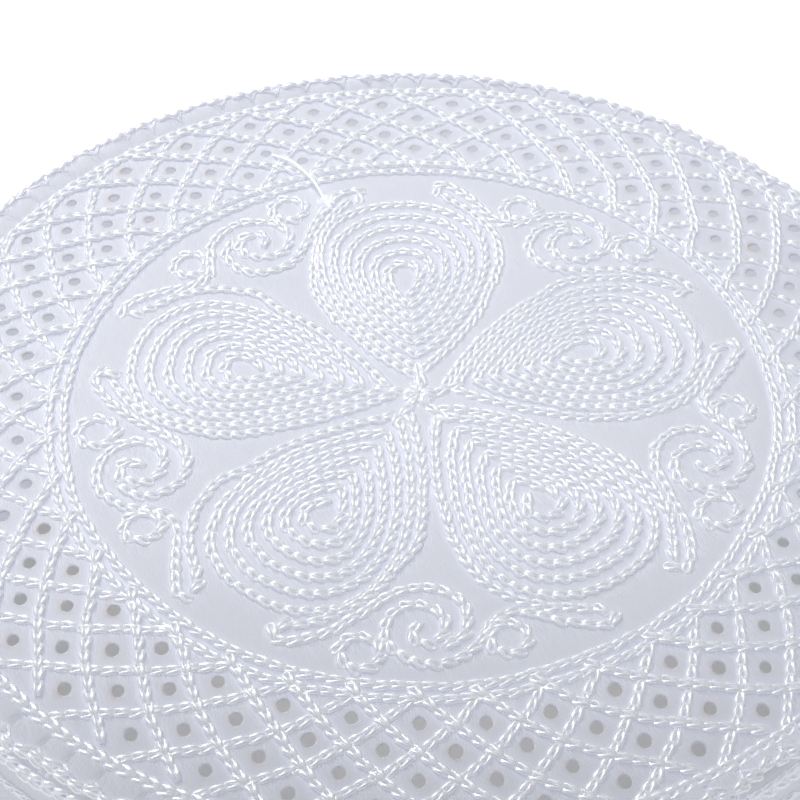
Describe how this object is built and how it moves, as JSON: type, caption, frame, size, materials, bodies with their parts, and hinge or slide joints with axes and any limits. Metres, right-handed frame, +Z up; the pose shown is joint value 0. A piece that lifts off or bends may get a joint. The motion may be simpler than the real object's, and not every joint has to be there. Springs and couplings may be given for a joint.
{
  "type": "prayer cap",
  "caption": "Round white cloth prayer cap with a flat embroidered top pierced by eyelets and a plain upright side band, open below for the head.",
  "frame": {"origin": "middle of the hem's underside, where the cap stands", "axes": "+Z up through the middle of the top panel, +Y away from the viewer, +X to the viewer's right"},
  "size_m": [0.1798, 0.18, 0.08],
  "materials": {
    "panel_cloth": "white twill, matt",
    "band_cloth": "white twill, matt",
    "thread": "silky white embroidery thread"
  },
  "bodies": {
    "root": {"top_panel": "panel_cloth", "side_band": "band_cloth"}
  },
  "joints": []
}
